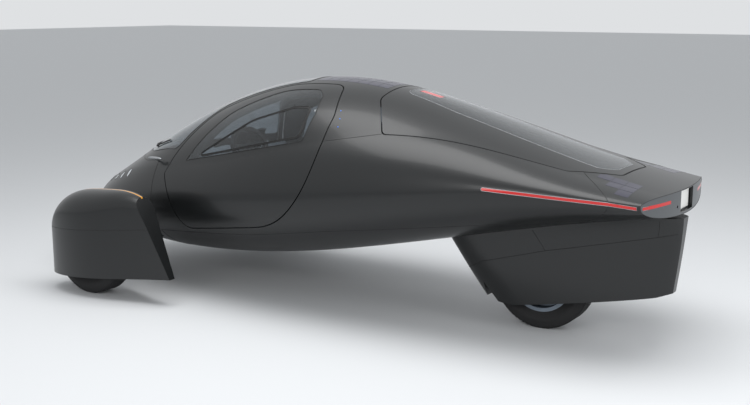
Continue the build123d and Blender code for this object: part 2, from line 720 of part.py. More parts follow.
os.makedirs("parts", exist_ok=True)
for node_name, node_shape in build().items():
    export_step(node_shape, f"parts/{node_name}.step")
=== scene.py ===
"""Looks of the three wheeled car, dressed on the frame packed from its parts.

Frame: +X forward, +Y left, +Z up, metres, origin on the ground under the middle of the car.
"""

import json
import logging
import math
from dataclasses import dataclass
from enum import Enum

import bmesh
import bpy
import numpy as np
from mathutils import Matrix, Vector
from mathutils.bvhtree import BVHTree
from mathutils.geometry import barycentric_transform


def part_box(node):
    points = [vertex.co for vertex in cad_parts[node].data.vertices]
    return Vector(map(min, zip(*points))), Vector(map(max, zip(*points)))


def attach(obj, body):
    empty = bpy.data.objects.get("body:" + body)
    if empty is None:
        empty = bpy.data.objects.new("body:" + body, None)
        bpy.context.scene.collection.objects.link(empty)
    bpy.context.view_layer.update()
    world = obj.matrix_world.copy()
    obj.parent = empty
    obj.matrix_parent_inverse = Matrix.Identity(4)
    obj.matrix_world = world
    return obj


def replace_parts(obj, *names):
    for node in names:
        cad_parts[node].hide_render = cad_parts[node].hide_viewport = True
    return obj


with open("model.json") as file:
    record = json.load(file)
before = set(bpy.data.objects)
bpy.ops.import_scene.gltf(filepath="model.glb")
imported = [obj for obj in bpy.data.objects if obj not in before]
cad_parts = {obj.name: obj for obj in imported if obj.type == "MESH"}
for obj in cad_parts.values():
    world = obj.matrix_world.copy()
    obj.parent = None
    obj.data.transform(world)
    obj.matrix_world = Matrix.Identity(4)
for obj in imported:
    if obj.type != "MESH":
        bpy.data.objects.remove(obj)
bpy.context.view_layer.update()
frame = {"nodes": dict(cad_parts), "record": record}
BODIES = frame["record"]["behaviour"]["bodies"]
BODY_OF_NODE = {node: body for body, nodes in BODIES.items() for node in nodes}
MM = 0.001
CHASSIS = "chassis"         # body that carries the others
HIGH = 2.0                  # height over the car from which lines are thrown down
OUTSIDE = 1.4               # distance beside the car from which lines are thrown inward
DOWN = Vector((0, 0, -1))
NODE_JOIN = 1e-5            # distance within which points of a node are one
BEAD_JOIN = 2e-4            # distance within which ends of a bead's edges are one
SHARP = math.radians(32)    # edges bent more than this stay sharp
COAT_ROUGHNESS = 0.12
RELIEF = 0.6                # strength of a pattern's relief
GRAIN_DETAIL = 3.0
BEAD_SIDES = 8
TINY = 1e-12                # least length to divide by
log = logging.getLogger("three_wheeled_car")


def linear(code: str) -> tuple[float, float, float, float]:
    """Linear colour of an sRGB hex code.

    Args:
        code: colour as "#rrggbb".
    Returns:
        Red, green, blue and an alpha of one.
    """
    values = [int(code[start:start + 2], 16) / 255 for start in (1, 3, 5)]
    red, green, blue = [v / 12.92 if v <= 0.04045 else ((v + 0.055) / 1.055) ** 2.4 for v in values]
    return red, green, blue, 1.0


def add_node(tree: bpy.types.NodeTree, kind: str, **values: object) -> bpy.types.Node:
    """Adds a node and sets its inputs by name, with underscores for spaces.

    Args:
        tree: node tree that takes the node.
        kind: type name of the node.
        values: values of its inputs.
    Returns:
        The node.
    """
    node = tree.nodes.new(kind)
    for name, value in values.items():
        node.inputs[name.replace("_", " ")].default_value = value
    return node


class Pattern(Enum):
    """Fine pattern of a finish."""

    PLAIN = "plain"
    FLAKE = "flake"
    GRAIN = "grain"
    WEAVE = "weave"


@dataclass(frozen=True)
class Finish:
    """A real material and how it is made.

    Attributes:
        name: the material and its make.
        slot: name of its slot in the record; not used.
        colour: sRGB hex of the base.
        roughness: roughness of the surface.
        metallic: share of bare metal.
        coat: weight of the clear coat.
        clear: share of light let through.
        glow: strength of its own light.
        pattern: fine pattern on it.
        pitch_mm: size of the pattern.
        depth_mm: height of the pattern.
        tone: second colour that the pattern brings in.
    """

    name: str
    slot: str
    colour: str
    roughness: float
    metallic: float = 0.0
    coat: float = 0.0
    clear: float = 0.0
    glow: float = 0.0
    pattern: Pattern = Pattern.PLAIN
    pitch_mm: float = 1.0
    depth_mm: float = 0.0
    tone: str = ""

    def material(self) -> bpy.types.Material:
        """The shader, made once.

        Returns:
            The material.
        """
        known = bpy.data.materials.get(self.name)
        if known:
            return known
        made = bpy.data.materials.new(self.name)
        made.use_nodes = True
        tree = made.node_tree
        shader = tree.nodes["Principled BSDF"]
        for socket, value in (("Base Color", linear(self.colour)), ("Roughness", self.roughness),
                              ("Metallic", self.metallic), ("Coat Weight", self.coat),
                              ("Transmission Weight", self.clear), ("Emission Color", linear(self.colour)),
                              ("Emission Strength", self.glow)):
            shader.inputs[socket].default_value = value
        shader.inputs["Coat Roughness"].default_value = COAT_ROUGHNESS
        if self.clear:
            self.let_shadow_through(tree, shader)
        if self.pattern is not Pattern.PLAIN:
            self.lay_pattern(tree, shader)
        return made

    def let_shadow_through(self, tree: bpy.types.NodeTree, shader: bpy.types.Node) -> None:
        """Lets light pass a clear pane instead of casting a full shadow.

        Args:
            tree: tree of the material.
            shader: its main shader.
        """
        path = add_node(tree, "ShaderNodeLightPath")
        open_pane = add_node(tree, "ShaderNodeBsdfTransparent", Color=linear(self.colour))
        mix = add_node(tree, "ShaderNodeMixShader")
        tree.links.new(path.outputs["Is Shadow Ray"], mix.inputs[0])
        tree.links.new(shader.outputs[0], mix.inputs[1])
        tree.links.new(open_pane.outputs[0], mix.inputs[2])
        tree.links.new(mix.outputs[0], tree.nodes["Material Output"].inputs["Surface"])

    def lay_pattern(self, tree: bpy.types.NodeTree, shader: bpy.types.Node) -> None:
        """Adds the fine pattern to the colour and the relief.

        Args:
            tree: tree of the material.
            shader: its main shader.
        """
        place = add_node(tree, "ShaderNodeTexCoord")
        scale = 1.0 / (self.pitch_mm * MM)
        if self.pattern is Pattern.WEAVE:
            texture = add_node(tree, "ShaderNodeTexChecker", Scale=scale)
            height = texture.outputs["Fac"]
        elif self.pattern is Pattern.FLAKE:
            texture = add_node(tree, "ShaderNodeTexVoronoi", Scale=scale)
            height = texture.outputs["Distance"]
        else:
            texture = add_node(tree, "ShaderNodeTexNoise", Scale=scale, Detail=GRAIN_DETAIL)
            height = texture.outputs["Fac"]
        tree.links.new(place.outputs["Object"], texture.inputs["Vector"])
        if self.tone:
            blend = tree.nodes.new("ShaderNodeMix")
            blend.data_type = "RGBA"
            colours = [socket for socket in blend.inputs if socket.type == "RGBA"]
            colours[0].default_value = linear(self.colour)
            colours[1].default_value = linear(self.tone)
            result = [socket for socket in blend.outputs if socket.type == "RGBA"][0]
            tree.links.new(height, blend.inputs["Factor"])
            tree.links.new(result, shader.inputs["Base Color"])
        if self.depth_mm:
            bump = add_node(tree, "ShaderNodeBump", Strength=RELIEF, Distance=self.depth_mm * MM)
            tree.links.new(height, bump.inputs["Height"])
            tree.links.new(bump.outputs["Normal"], shader.inputs["Normal"])


# Sprayed satin paint with fine metal flake under a thin clear coat
PAINT = Finish("charcoal paint, sprayed satin", "body_paint", "#151617", 0.34, metallic=0.2, coat=0.2,
               pattern=Pattern.FLAKE, pitch_mm=0.9, depth_mm=0.004, tone="#1b1d1e")
# The same paint in a lighter grey on the tail face
TAIL_PAINT = Finish("grey paint, sprayed satin", "tail_paint", "#55585b", 0.34, metallic=0.4, coat=0.2,
                    pattern=Pattern.FLAKE, pitch_mm=0.9, depth_mm=0.004, tone="#5f6265")
# Curved laminated glass with a grey tint
GLASS = Finish("grey glass, laminated", "glass", "#aab2b8", 0.02, clear=1.0)
# Extruded rubber
SEAL = Finish("black rubber, extruded", "seal_rubber", "#0e0e0f", 0.6, pattern=Pattern.GRAIN, pitch_mm=3,
              depth_mm=0.02)
# Moulded red lamp cover, lit from behind
RED = Finish("red acrylic, moulded lens", "red_lamp", "#b3100f", 0.15, coat=0.5, glow=0.3)
# Moulded clear lamp cover
WHITE_LAMP = Finish("clear acrylic, moulded lens", "white_lamp", "#b9bec3", 0.1, coat=0.6)
# Moulded amber light guide
AMBER = Finish("amber acrylic, moulded guide", "amber_strip", "#c98a1c", 0.2, coat=0.4, glow=0.15)
# Blue light points
BLUE = Finish("blue acrylic, light points", "white_lamp", "#2f6fd0", 0.2, glow=0.5)
# Pressed plate with white enamel
PLATE = Finish("white enamel, pressed plate", "plate_white", "#e9e9e6", 0.35, coat=0.2, pattern=Pattern.GRAIN,
               pitch_mm=8, depth_mm=0.02)
# Moulded tyre rubber
TYRE = Finish("tyre rubber, moulded", "tyre", "#161617", 0.78, pattern=Pattern.GRAIN, pitch_mm=2.5,
              depth_mm=0.15, tone="#1f1f20")
# Cast wheel under blue-grey powder coat
RIM = Finish("cast aluminium, powder coated", "rim", "#7d8792", 0.4, metallic=0.5, pattern=Pattern.GRAIN,
             pitch_mm=2, depth_mm=0.03)
# Forged arms, blasted
STEEL = Finish("forged steel, blasted and plated", "steel", "#9a9da0", 0.45, metallic=0.8,
               pattern=Pattern.GRAIN, pitch_mm=2, depth_mm=0.05, tone="#8b8e91")
# Drawn trim strip, satin anodised
TRIM = Finish("aluminium trim, satin anodised", "steel", "#9b9ea1", 0.35, metallic=0.7)
# Short pile carpet
CARPET = Finish("black carpet, short pile", "floor_carpet", "#161618", 0.95, pattern=Pattern.GRAIN,
                pitch_mm=3, depth_mm=1.0, tone="#222225")
# Grained soft moulding
DASH = Finish("light grey plastic, grained moulding", "dash_plastic", "#a0a2a3", 0.6, pattern=Pattern.GRAIN,
              pitch_mm=1.5, depth_mm=0.08, tone="#989a9b")
# Glass over a dark display
SCREEN = Finish("black glass, polished display", "screen_gloss", "#0b0d10", 0.06, coat=0.8)
# Woven cover over foam
CLOTH = Finish("grey cloth, woven", "seat_cloth", "#7c7d7e", 0.9, pattern=Pattern.WEAVE, pitch_mm=3,
               depth_mm=0.25, tone="#6a6b6c")
# Folded battery case
CASE = Finish("aluminium sheet, folded", "battery_case", "#a9abad", 0.45, metallic=0.8, pattern=Pattern.GRAIN,
              pitch_mm=4, depth_mm=0.02)
# Solar cells under a clear film
CELL = Finish("solar cells, laminated film", "screen_gloss", "#1d1c2e", 0.3, coat=0.3, pattern=Pattern.GRAIN,
              pitch_mm=12, tone="#26243a")
# Rolled paper under the car, which fills no slot
PAPER = Finish("pale backdrop paper", "", "#d8dadc", 0.8)


@dataclass(frozen=True)
class Station:
    """Section of the body's surface, millimetres, as in the part's own table."""

    x: float
    top: float
    bottom: float
    half_width: float
    waist: float
    seam_y: float
    seam_z: float


STATIONS = [Station(*row) for row in (
    (2184.5, 530, 475, 45, 500, 30, 523), (2150, 585, 418, 190, 500, 135, 562),
    (2050, 652, 343, 370, 505, 275, 606), (1800, 795, 245, 525, 530, 410, 710),
    (1400, 1045, 190, 628, 570, 545, 815), (900, 1285, 200, 710, 630, 632, 885),
    (300, 1430, 270, 760, 700, 665, 1005), (-300, 1412, 385, 750, 775, 595, 1135),
    (-900, 1272, 520, 710, 860, 485, 1158), (-1500, 1098, 655, 640, 915, 400, 1050),
    (-1950, 980, 745, 565, 900, 340, 962), (-2220, 920, 797, 495, 886, 295, 911),
)]


class BodySurface:
    """Smooth surface through the body's sections, which gives panels their shading normals.

    Args:
        stations: sections from nose to tail.
    """

    HAUNCH = 0.55             # share of the seam's y at which the rear shoulder is centred
    HAUNCH_START = 600.0      # x where the shoulder starts to move out, millimetres
    HAUNCH_LENGTH = 1200.0    # run over which it moves, millimetres
    ARC_STEPS = 24
    ROW_STEPS = 12
    NEAR = 0.025              # distance within which a point lies on the body, metres
    ALONG = 0.8               # least cosine between a face and the body's surface

    def __init__(self, stations: list[Station]) -> None:
        rows = np.array([self.section(station) for station in stations]) * MM
        points = self.spline(rows)
        columns = points.shape[1]
        along = np.gradient(points, axis=0)
        around = (np.roll(points, -1, axis=1) - np.roll(points, 1, axis=1)) / 2
        normals = np.cross(along, around)
        middle = points.mean(axis=1, keepdims=True)
        outward = np.sign(np.sum(normals * (points - middle), axis=2, keepdims=True))
        normals = normals * outward / np.maximum(np.linalg.norm(normals, axis=2, keepdims=True), TINY)
        self.points = [Vector(p) for p in points.reshape(-1, 3)]
        self.normals = [Vector(n) for n in normals.reshape(-1, 3)]
        self.faces = []
        for row in range(points.shape[0] - 1):
            for column in range(columns):
                after = (column + 1) % columns
                a, b = row * columns + column, row * columns + after
                c, d = a + columns, b + columns
                self.faces += [(a, b, d), (a, d, c)]
        self.tree = BVHTree.FromPolygons(self.points, self.faces)

    def section(self, station: Station) -> list[tuple[float, float, float]]:
        """Points round one section, in millimetres.

        Args:
            station: the section.
        Returns:
            Points from the left seam over the top, down the right and under the belly.
        """
        rise = station.top - station.waist
        up = station.seam_z - station.waist
        upper_half = station.seam_y / math.sqrt(1 - (up / rise) ** 2)
        ramp = min(1.0, max(0.0, (self.HAUNCH_START - station.x) / self.HAUNCH_LENGTH))
        shoulder_y = self.HAUNCH * ramp * station.seam_y
        shoulder_half = station.half_width - shoulder_y
        seam_cos = (station.seam_y - shoulder_y) / shoulder_half
        shoulder_rise = up / math.sqrt(1 - seam_cos ** 2)
        seam_angle, shoulder_angle = math.asin(up / rise), math.acos(seam_cos)
        arcs = (
            (0.0, upper_half, rise, seam_angle, math.pi - seam_angle),
            (-shoulder_y, shoulder_half, shoulder_rise, math.pi - shoulder_angle, math.pi),
            (0.0, station.half_width, station.waist - station.bottom, math.pi, 2 * math.pi),
            (shoulder_y, shoulder_half, shoulder_rise, 0.0, shoulder_angle),
        )
        points = []
        for centre, half, height, start, end in arcs:
            for step in range(self.ARC_STEPS):
                angle = start + (end - start) * step / self.ARC_STEPS
                across = centre + half * math.cos(angle)
                points.append((station.x, across, station.waist + height * math.sin(angle)))
        return points

    def spline(self, rows: np.ndarray) -> np.ndarray:
        """Natural cubic spline through the sections.

        Args:
            rows: points of each section.
        Returns:
            Points of many sections along the body.
        """
        count = len(rows)
        step = np.linalg.norm(np.diff(rows, axis=0), axis=2).mean(axis=1)
        system, right = np.eye(count), np.zeros_like(rows)
        for i in range(1, count - 1):
            system[i, i - 1:i + 2] = step[i - 1], 2 * (step[i - 1] + step[i]), step[i]
            right[i] = 6 * ((rows[i + 1] - rows[i]) / step[i] - (rows[i] - rows[i - 1]) / step[i - 1])
        bend = np.linalg.solve(system, right.reshape(count, -1)).reshape(rows.shape)
        made = []
        for i in range(count - 1):
            for k in range(self.ROW_STEPS + (i == count - 2)):
                after = k / self.ROW_STEPS
                before = 1 - after
                sag = (step[i] ** 2) / 6
                made.append(before * rows[i] + after * rows[i + 1]
                            + sag * ((before ** 3 - before) * bend[i] + (after ** 3 - after) * bend[i + 1]))
        return np.array(made)

    def normal_at(self, point: Vector) -> Vector | None:
        """Normal of the surface beside a point.

        Args:
            point: point on or near the body.
        Returns:
            Unit normal, or None away from the surface.
        """
        place, _, index, distance = self.tree.find_nearest(point)
        if distance > self.NEAR:
            return None
        a, b, c = self.faces[index]
        found = barycentric_transform(place, self.points[a], self.points[b], self.points[c],
                                      self.normals[a], self.normals[b], self.normals[c])
        return found.normalized()

    def lay_normals(self, mesh: bpy.types.Mesh) -> None:
        """Gives the outer faces of a panel the normals of the whole body.

        Args:
            mesh: merged mesh of the panel, shaded already.
        """
        corners = np.empty(len(mesh.loops) * 3, np.float32)
        mesh.corner_normals.foreach_get("vector", corners)
        corners = corners.reshape(-1, 3)
        known = [self.normal_at(vertex.co) for vertex in mesh.vertices]
        for polygon in mesh.polygons:
            for corner, vertex in zip(polygon.loop_indices, polygon.vertices):
                normal = known[vertex]
                if normal is not None and normal.dot(polygon.normal) > self.ALONG:
                    corners[corner] = normal
        mesh.normals_split_custom_set(corners.tolist())

    def outline(self, mesh: bpy.types.Mesh) -> list[tuple[Vector, Vector]]:
        """Edges where the outer skin of a panel ends.

        Args:
            mesh: merged mesh of the panel.
        Returns:
            Pairs of end points.
        """
        work = bmesh.new()
        work.from_mesh(mesh)
        outer = {}
        for face in work.faces:
            normal = self.normal_at(face.calc_center_median())
            outer[face.index] = normal is not None and normal.dot(face.normal) > self.ALONG
        edges = []
        for edge in work.edges:
            if len(edge.link_faces) == 2 and len({outer[face.index] for face in edge.link_faces}) == 2:
                edges.append((edge.verts[0].co.copy(), edge.verts[1].co.copy()))
        work.free()
        return edges


SURFACE = BodySurface(STATIONS)


def join_points(mesh: bpy.types.Mesh, distance: float) -> None:
    """Joins the points of a mesh that lie together.

    Args:
        mesh: the mesh, changed in place.
        distance: distance within which points are one.
    """
    work = bmesh.new()
    work.from_mesh(mesh)
    bmesh.ops.remove_doubles(work, verts=work.verts, dist=distance)
    work.to_mesh(mesh)
    work.free()


def taken_from(work: bmesh.types.BMesh, name: str) -> bpy.types.Mesh:
    """New mesh from a finished work mesh, which is freed.

    Args:
        work: the work mesh.
        name: name of the new mesh.
    Returns:
        The mesh.
    """
    mesh = bpy.data.meshes.new(name)
    work.to_mesh(mesh)
    work.free()
    return mesh


def merged(node: str) -> bpy.types.Mesh:
    """Mesh of a node with its loose triangles joined.

    Args:
        node: name of the node.
    Returns:
        A new mesh, smooth between sharp edges.
    """
    mesh = frame["nodes"][node].data.copy()
    join_points(mesh, NODE_JOIN)
    if "custom_normal" in mesh.attributes:
        mesh.attributes.remove(mesh.attributes["custom_normal"])
    mesh.materials.clear()
    mesh.shade_smooth()
    mesh.set_sharp_from_angle(angle=SHARP)
    return mesh


def piece(name: str, mesh: bpy.types.Mesh, finish: Finish, body: str) -> bpy.types.Object:
    """Object of a mesh that rides a body in one finish.

    Args:
        name: name of the object.
        mesh: its mesh, in the frame.
        finish: its finish.
        body: body that carries it.
    Returns:
        The object.
    """
    made = bpy.data.objects.new(name, mesh)
    bpy.context.scene.collection.objects.link(made)
    mesh.materials.clear()
    mesh.materials.append(finish.material())
    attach(made, body)
    return made


def dressed(node: str, finish: Finish, on_body: bool = False) -> bpy.types.Object:
    """Copy of a node in its finish, which stands for the node.

    Args:
        node: name of the node.
        finish: its finish.
        on_body: whether its outside lies on the body's surface.
    Returns:
        The object.
    """
    mesh = merged(node)
    if on_body:
        SURFACE.lay_normals(mesh)
    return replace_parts(piece(f"{node}_dressed", mesh, finish, BODY_OF_NODE[node]), node)


def mesh_of(name: str, points: list, edges: list = (), faces: list = ()) -> bpy.types.Mesh:
    """New mesh from points, edges and faces.

    Args:
        name: name of the mesh.
        points: positions.
        edges: pairs of indices.
        faces: tuples of indices.
    Returns:
        The mesh.
    """
    mesh = bpy.data.meshes.new(name)
    mesh.from_pydata([tuple(p) for p in points], list(edges), list(faces))
    return mesh


class NodeTool:
    """A geometry node group with named inputs that is applied to a mesh.

    Args:
        name: name of the group.
        inputs: (name, socket type) of each input after the geometry.
    """

    def __init__(self, name: str, inputs: list[tuple[str, str]]) -> None:
        self.tree = bpy.data.node_groups.new(name, "GeometryNodeTree")
        face = self.tree.interface
        face.new_socket("Geometry", in_out="INPUT", socket_type="NodeSocketGeometry")
        for label, kind in inputs:
            face.new_socket(label, in_out="INPUT", socket_type=kind)
        face.new_socket("Geometry", in_out="OUTPUT", socket_type="NodeSocketGeometry")
        self.source = self.tree.nodes.new("NodeGroupInput")
        self.end = self.tree.nodes.new("NodeGroupOutput")

    def link(self, start: bpy.types.NodeSocket, end: bpy.types.NodeSocket) -> None:
        """Links two sockets.

        Args:
            start: output.
            end: input.
        """
        self.tree.links.new(start, end)

    def close(self, geometry: bpy.types.NodeSocket) -> None:
        """Ends the group: real geometry in its material.

        Args:
            geometry: output of the last node.
        """
        real = self.tree.nodes.new("GeometryNodeRealizeInstances")
        coat = self.tree.nodes.new("GeometryNodeSetMaterial")
        self.link(geometry, real.inputs[0])
        self.link(real.outputs[0], coat.inputs["Geometry"])
        self.link(self.source.outputs["Material"], coat.inputs["Material"])
        self.link(coat.outputs[0], self.end.inputs[0])

    def apply(self, mesh: bpy.types.Mesh, **values: object) -> bpy.types.Mesh:
        """Runs the group on a mesh.

        Args:
            mesh: geometry that goes in.
            values: inputs by name, with underscores for spaces.
        Returns:
            The finished mesh.
        """
        holder = bpy.data.objects.new("tool_holder", mesh)
        bpy.context.scene.collection.objects.link(holder)
        modifier = holder.modifiers.new("tool", "NODES")
        modifier.node_group = self.tree
        for item in self.tree.interface.items_tree:
            label = item.name.replace(" ", "_")
            if item.in_out == "INPUT" and label in values:
                modifier[item.identifier] = values[label]
        graph = bpy.context.evaluated_depsgraph_get()
        made = bpy.data.meshes.new_from_object(holder.evaluated_get(graph))
        holder.modifiers.clear()
        bpy.data.objects.remove(holder)
        return made


def bead_tool() -> NodeTool:
    """Group that lays a round bead along the edges of a mesh.

    Returns:
        The tool, with inputs Radius and Material.
    """
    tool = NodeTool("bead along edges", [("Radius", "NodeSocketFloat"), ("Material", "NodeSocketMaterial")])
    curve = tool.tree.nodes.new("GeometryNodeMeshToCurve")
    profile = add_node(tool.tree, "GeometryNodeCurvePrimitiveCircle", Resolution=BEAD_SIDES)
    sweep = add_node(tool.tree, "GeometryNodeCurveToMesh", Fill_Caps=True)
    tool.link(tool.source.outputs["Geometry"], curve.inputs["Mesh"])
    tool.link(tool.source.outputs["Radius"], profile.inputs["Radius"])
    tool.link(curve.outputs[0], sweep.inputs["Curve"])
    tool.link(profile.outputs[0], sweep.inputs["Profile Curve"])
    tool.close(sweep.outputs[0])
    return tool


def ring_tool() -> NodeTool:
    """Group that repeats a mesh round a circle, in rows along the circle's axis.

    Returns:
        The tool, with inputs Count, Radius, Rows, Pitch and Material.
    """
    tool = NodeTool("ring of copies", [("Count", "NodeSocketInt"), ("Radius", "NodeSocketFloat"),
                                       ("Rows", "NodeSocketInt"), ("Pitch", "NodeSocketVector"),
                                       ("Material", "NodeSocketMaterial")])
    tree = tool.tree
    circle = tree.nodes.new("GeometryNodeMeshCircle")
    place = tree.nodes.new("GeometryNodeInputPosition")
    turn = tree.nodes.new("FunctionNodeAlignRotationToVector")
    turn.axis = "X"
    round_copies = tree.nodes.new("GeometryNodeInstanceOnPoints")
    line = tree.nodes.new("GeometryNodeMeshLine")
    rows = tree.nodes.new("GeometryNodeInstanceOnPoints")
    tool.link(tool.source.outputs["Count"], circle.inputs["Vertices"])
    tool.link(tool.source.outputs["Radius"], circle.inputs["Radius"])
    tool.link(place.outputs[0], turn.inputs["Vector"])
    tool.link(circle.outputs[0], round_copies.inputs["Points"])
    tool.link(tool.source.outputs["Geometry"], round_copies.inputs["Instance"])
    tool.link(turn.outputs[0], round_copies.inputs["Rotation"])
    tool.link(tool.source.outputs["Rows"], line.inputs["Count"])
    tool.link(tool.source.outputs["Pitch"], line.inputs["Offset"])
    tool.link(line.outputs[0], rows.inputs["Points"])
    tool.link(round_copies.outputs[0], rows.inputs["Instance"])
    tool.close(rows.outputs[0])
    return tool


BEAD = bead_tool()
RING = ring_tool()


def bead(name: str, edges: list[tuple[Vector, Vector]], radius_mm: float, finish: Finish,
         body: str) -> bpy.types.Object:
    """Round bead along edges.

    Args:
        name: name of the piece.
        edges: pairs of end points.
        radius_mm: radius of the bead.
        finish: its finish.
        body: body that carries it.
    Returns:
        The piece.
    """
    points = [point for edge in edges for point in edge]
    mesh = mesh_of(name, points, [(i, i + 1) for i in range(0, len(points), 2)])
    join_points(mesh, BEAD_JOIN)
    made = BEAD.apply(mesh, Radius=radius_mm * MM, Material=finish.material())
    made.shade_smooth()
    return piece(name, made, finish, body)


class Caster:
    """Throws lines at chosen nodes to lay pieces on their outside.

    Args:
        nodes: names of the nodes.
    """

    STEP = 0.012

    def __init__(self, *nodes: str) -> None:
        points, faces = [], []
        for node in nodes:
            mesh = frame["nodes"][node].data
            mesh.calc_loop_triangles()
            start = len(points)
            points += [vertex.co.copy() for vertex in mesh.vertices]
            faces += [tuple(start + v for v in t.vertices) for t in mesh.loop_triangles]
        self.tree = BVHTree.FromPolygons(points, faces)

    def hit(self, start: Vector, direction: Vector) -> tuple[Vector, Vector] | None:
        """First point hit and the normal there.

        Args:
            start: start of the line, outside.
            direction: way that it goes.
        Returns:
            Point and normal, or None for a miss.
        """
        place, normal, _, _ = self.tree.ray_cast(start, direction)
        if place is None:
            return None
        return place, normal if normal.dot(direction) < 0 else -normal

    def line(self, points: list[Vector], direction: Vector, lift: float = 0.0) -> list[tuple[Vector, Vector]]:
        """Lays a chain of straight runs on the nodes.

        Args:
            points: corners of the chain, outside the nodes.
            direction: way that they are thrown.
            lift: height over the surface.
        Returns:
            Edges on the surface.
        """
        found = []
        for start, end in zip(points, points[1:]):
            count = max(1, int((end - start).length / self.STEP))
            for step in range(count + 1):
                hit = self.hit(start.lerp(end, step / count), direction)
                if hit:
                    found.append(hit[0] + hit[1] * lift)
        return list(zip(found, found[1:]))


class Side(Enum):
    """Side of the car; the value turns a left y into its own."""

    LEFT = 1
    RIGHT = -1

    @property
    def word(self) -> str:
        """Ending of its names."""
        return self.name.lower()


@dataclass(frozen=True)
class ShellSizes:
    """Sizes of the shell's trim, millimetres."""

    seam_radius: float = 1.5
    seal_radius: float = 2.6
    lamp_frame_radius: float = 1.5
    glass_border_radius: float = 1.3
    wiper_radius: float = 5.0
    wiper_lift: float = 7.0
    dot_radius: float = 4.0
    pod_length: float = 120.0
    pod_width: float = 26.0
    pod_height: float = 20.0
    stalk_radius: float = 6.0
    stalk_sunk: float = 4.0


class Shell:
    """Fixed and hinged panels of the body, glass, lamps and trim.

    Args:
        sizes: sizes of its trim.
    """

    PANELS = ("hood", "nose_lower", "belly", "side_left", "side_right", "roof_frame", "hatch", "door_left",
              "door_right")
    PANES = ("windshield", "hatch_glass", "door_glass_left", "door_glass_right")
    SEAMED = ("roof_frame", "tail_cap", "belly", "hood")
    LAMPS = (("tail_lamps", RED), ("stop_lamp", RED), ("head_lamps", WHITE_LAMP))
    # Places in metres: x and y of the wiper, the light points, the camera's foot and its reach from there
    WIPER_PLAN = ((1.585, 0.06), (1.54, 0.26), (1.42, 0.40), (1.25, 0.44))
    DOTS = ((-0.193, 0.461, 1.273), (-0.219, 0.509, 1.230), (-0.235, 0.553, 1.187))
    POD_XZ = (1.262, 0.862)
    POD_REACH = (0.02, 0.05, 0.025)
    POD_SEGMENTS = (24, 14)
    DOT_SEGMENTS = (12, 8)
    TAIL_FACING = 0.6         # least share of a face's normal to the rear for the lighter grey

    def __init__(self, sizes: ShellSizes) -> None:
        self.sizes = sizes

    def build(self) -> None:
        """Dresses the panels, glass and lamps."""
        for node in self.PANELS:
            dressed(node, PAINT, on_body=True)
        for node in self.PANES:
            dressed(node, GLASS, on_body=True)
        for node, finish in self.LAMPS:
            dressed(node, finish, on_body=True)
        for side in Side:
            dressed(f"window_seal_{side.word}", SEAL, on_body=True)
        self.build_tail()
        dressed("number_plate", PLATE)

    def build_tail(self) -> None:
        """Dresses the tail cap, its rear face in the lighter grey."""
        tail = dressed("tail_cap", PAINT, on_body=True)
        tail.data.materials.append(TAIL_PAINT.material())
        for polygon in tail.data.polygons:
            if polygon.normal.x < -self.TAIL_FACING:
                polygon.material_index = 1

    def dress(self) -> None:
        """Adds seams, seals, lamp frames, wiper, camera pods and light points."""
        sizes = self.sizes
        for node in self.SEAMED:
            edges = SURFACE.outline(merged(node))
            bead(f"{node}_seam", edges, sizes.seam_radius, SEAL, BODY_OF_NODE[node])
        edged = [("tail_lamp_frames", "tail_lamps", sizes.lamp_frame_radius, TRIM),
                 ("hatch_glass_border", "hatch_glass", sizes.glass_border_radius, TRIM),
                 ("windshield_seal", "windshield", sizes.seal_radius, SEAL)]
        edged += [(f"door_glass_{side.word}_seal", f"door_glass_{side.word}", sizes.seal_radius, SEAL)
                  for side in Side]
        for name, node, radius, finish in edged:
            bead(name, SURFACE.outline(merged(node)), radius, finish, BODY_OF_NODE[node])
        for side in Side:
            self.add_pod(side)
            self.add_dots(side)
        self.add_wiper()

    def add_wiper(self) -> None:
        """Lays the wiper along the foot of the windshield."""
        above = [Vector((x, y, HIGH)) for x, y in self.WIPER_PLAN]
        edges = Caster("windshield", "roof_frame").line(above, DOWN, self.sizes.wiper_lift * MM)
        bead("wiper", edges, self.sizes.wiper_radius, SEAL, CHASSIS)

    def add_pod(self, side: Side) -> None:
        """Adds the side camera on its short stalk.

        Args:
            side: side of the car.
        """
        x, z = self.POD_XZ
        caster = Caster(f"side_{side.word}", "hood", "roof_frame", "nose_lower")
        foot, _ = caster.hit(Vector((x, side.value * OUTSIDE, z)), Vector((0, -side.value, 0)))
        back, out, up = self.POD_REACH
        head = foot + Vector((-back, side.value * out, up))
        half = Vector((self.sizes.pod_length, self.sizes.pod_width, self.sizes.pod_height)) * MM / 2
        around, along = self.POD_SEGMENTS
        work = bmesh.new()
        bmesh.ops.create_uvsphere(work, u_segments=around, v_segments=along, radius=1.0,
                                  matrix=Matrix.Translation(head) @ Matrix.Diagonal((*half, 1)))
        mesh = taken_from(work, "pod")
        mesh.shade_smooth()
        piece(f"camera_pod_{side.word}", mesh, TRIM, CHASSIS)
        root = foot - Vector((0, side.value * self.sizes.stalk_sunk * MM, 0))
        bead(f"camera_stalk_{side.word}", [(root, head)], self.sizes.stalk_radius, TRIM, CHASSIS)

    def add_dots(self, side: Side) -> None:
        """Adds three small blue light points behind the door.

        Args:
            side: side of the car.
        """
        around, along = self.DOT_SEGMENTS
        work = bmesh.new()
        for x, y, z in self.DOTS:
            place, _, _, _ = SURFACE.tree.find_nearest(Vector((x, y * side.value, z)))
            bmesh.ops.create_uvsphere(work, u_segments=around, v_segments=along,
                                      radius=self.sizes.dot_radius * MM, matrix=Matrix.Translation(place))
        mesh = taken_from(work, "dots")
        mesh.shade_smooth()
        piece(f"light_points_{side.word}", mesh, BLUE, CHASSIS)


@dataclass(frozen=True)
class CellField:
    """A field of solar cells in plan, metres."""

    name: str
    node: str
    x_range: tuple[float, float]
    y_range: tuple[float, float]


